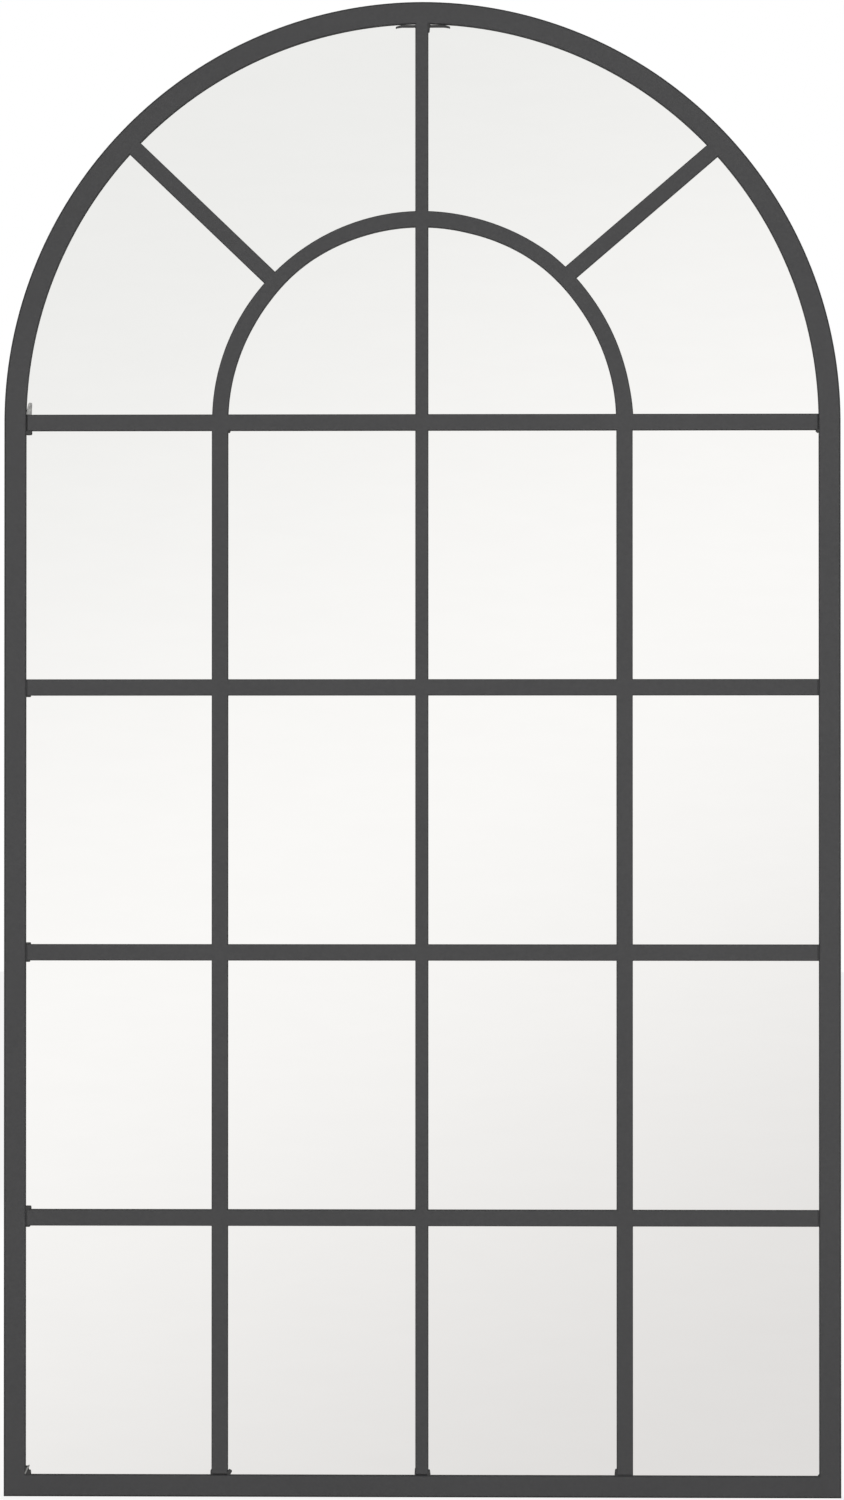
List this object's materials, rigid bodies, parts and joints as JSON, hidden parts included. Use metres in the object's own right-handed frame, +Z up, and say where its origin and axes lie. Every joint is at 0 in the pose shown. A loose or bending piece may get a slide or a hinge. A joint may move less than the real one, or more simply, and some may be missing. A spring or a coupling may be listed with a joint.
{
  "type": "arched window mirror",
  "caption": "Tall arched wall mirror whose dark steel frame has window-style glazing bars, a smaller inner arch and spokes over one mirror sheet, hung from keyhole plates at the back.",
  "frame": {"origin": "midway between the two keyholes' entry holes, on the plane of the frame's back edges; the wall pads stand 1.5 mm proud of that plane towards the wall", "axes": "+Z up, +X to the right of someone looking at the mirror, the mirror's face looks along -Y, the wall is on the +Y side"},
  "size_m": [0.77, 0.0215, 1.3759],
  "materials": {
    "powder_coated_steel": "matte powder coat, anthracite grey",
    "silvered_glass": "polished",
    "raw_fibreboard": "raw medium density fibreboard",
    "zinc_plated_steel": "bright zinc",
    "bedding_foam": "closed-cell foam tape",
    "block_rubber": "matte rubber",
    "wall_pad_foam": "dense foam"
  },
  "bodies": {
    "root": {"arch_head": "powder_coated_steel", "left_stile": "powder_coated_steel", "right_stile": "powder_coated_steel", "bottom_rail": "powder_coated_steel", "transom_bar": "powder_coated_steel", "upper_cross_bar": "powder_coated_steel", "middle_cross_bar": "powder_coated_steel", "lower_cross_bar": "powder_coated_steel", "left_upright_bar": "powder_coated_steel", "centre_upright_bar": "powder_coated_steel", "right_upright_bar": "powder_coated_steel", "inner_arch_bar": "powder_coated_steel", "inner_centre_bar": "powder_coated_steel", "centre_spoke": "powder_coated_steel", "left_spoke": "powder_coated_steel", "right_spoke": "powder_coated_steel", "arch_retaining_ears": "powder_coated_steel", "left_retaining_ears": "powder_coated_steel", "right_retaining_ears": "powder_coated_steel", "bottom_retaining_ears": "powder_coated_steel", "left_keyhole_plate": "powder_coated_steel", "right_keyhole_plate": "powder_coated_steel", "arch_bedding_tape": "bedding_foam", "left_bedding_tape": "bedding_foam", "right_bedding_tape": "bedding_foam", "bottom_bedding_tape": "bedding_foam", "left_bar_tape": "bedding_foam", "centre_bar_tape": "bedding_foam", "right_bar_tape": "bedding_foam", "left_setting_block": "block_rubber", "right_setting_block": "block_rubber", "upper_left_wall_pad": "wall_pad_foam", "upper_right_wall_pad": "wall_pad_foam", "lower_left_wall_pad": "wall_pad_foam", "lower_right_wall_pad": "wall_pad_foam", "mirror_sheet": "silvered_glass", "backing_board": "raw_fibreboard", "backing_screws": "zinc_plated_steel"}
  },
  "joints": []
}
